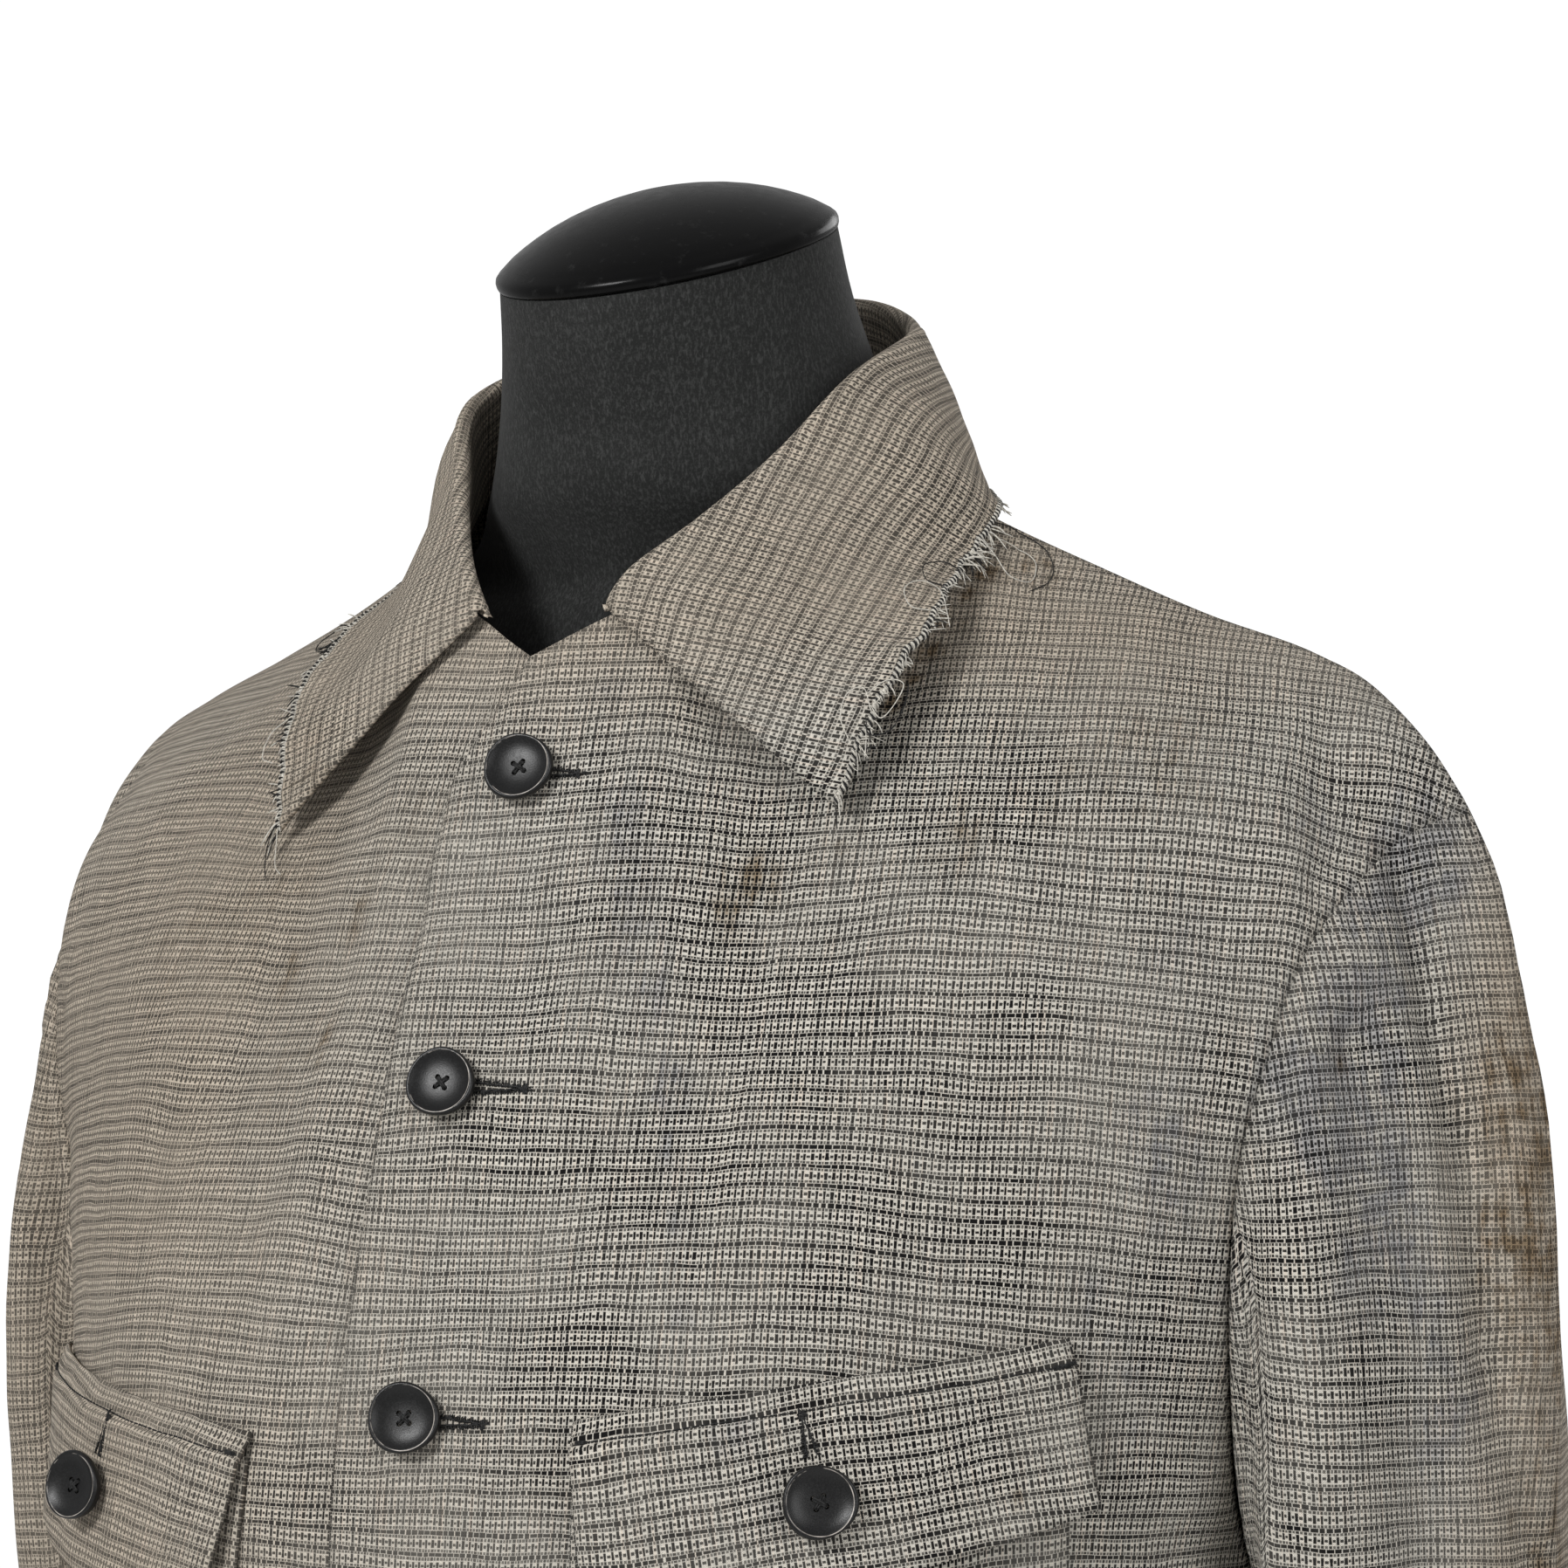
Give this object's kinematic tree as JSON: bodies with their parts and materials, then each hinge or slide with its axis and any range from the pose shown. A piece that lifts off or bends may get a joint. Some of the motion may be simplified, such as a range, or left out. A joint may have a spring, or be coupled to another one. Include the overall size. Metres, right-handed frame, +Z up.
{
  "type": "hunting jacket on dress form",
  "caption": "Woven hunting jacket with a pointed collar, buttoned front and flapped chest pockets, worn on a limbless dress form on a pole stand.",
  "frame": {"origin": "centre of the stand base's underside, on the floor", "axes": "+Z up, the jacket's front faces -Y, +X is the wearer's left"},
  "size_m": [0.5172, 0.33, 1.5607],
  "materials": {
    "woven_cloth": "plain weave, dashed dark weft and fine dark bars",
    "button": "satin black, worn at the rim",
    "form_jersey": "charcoal melange jersey",
    "cap_gloss": "gloss black",
    "stand_metal": "satin black paint"
  },
  "bodies": {
    "root": {"front_left": "woven_cloth", "front_right": "woven_cloth", "back": "woven_cloth", "sleeve_left": "woven_cloth", "sleeve_right": "woven_cloth", "collar": "woven_cloth", "pocket_left": "woven_cloth", "pocket_right": "woven_cloth", "flap_left": "woven_cloth", "flap_right": "woven_cloth", "button_1": "button", "button_2": "button", "button_3": "button", "button_4": "button", "button_5": "button", "button_6": "button", "flap_button_left": "button", "flap_button_right": "button", "form_torso": "form_jersey", "neck_cap": "cap_gloss", "stand_pole": "stand_metal", "stand_base": "stand_metal"}
  },
  "joints": []
}
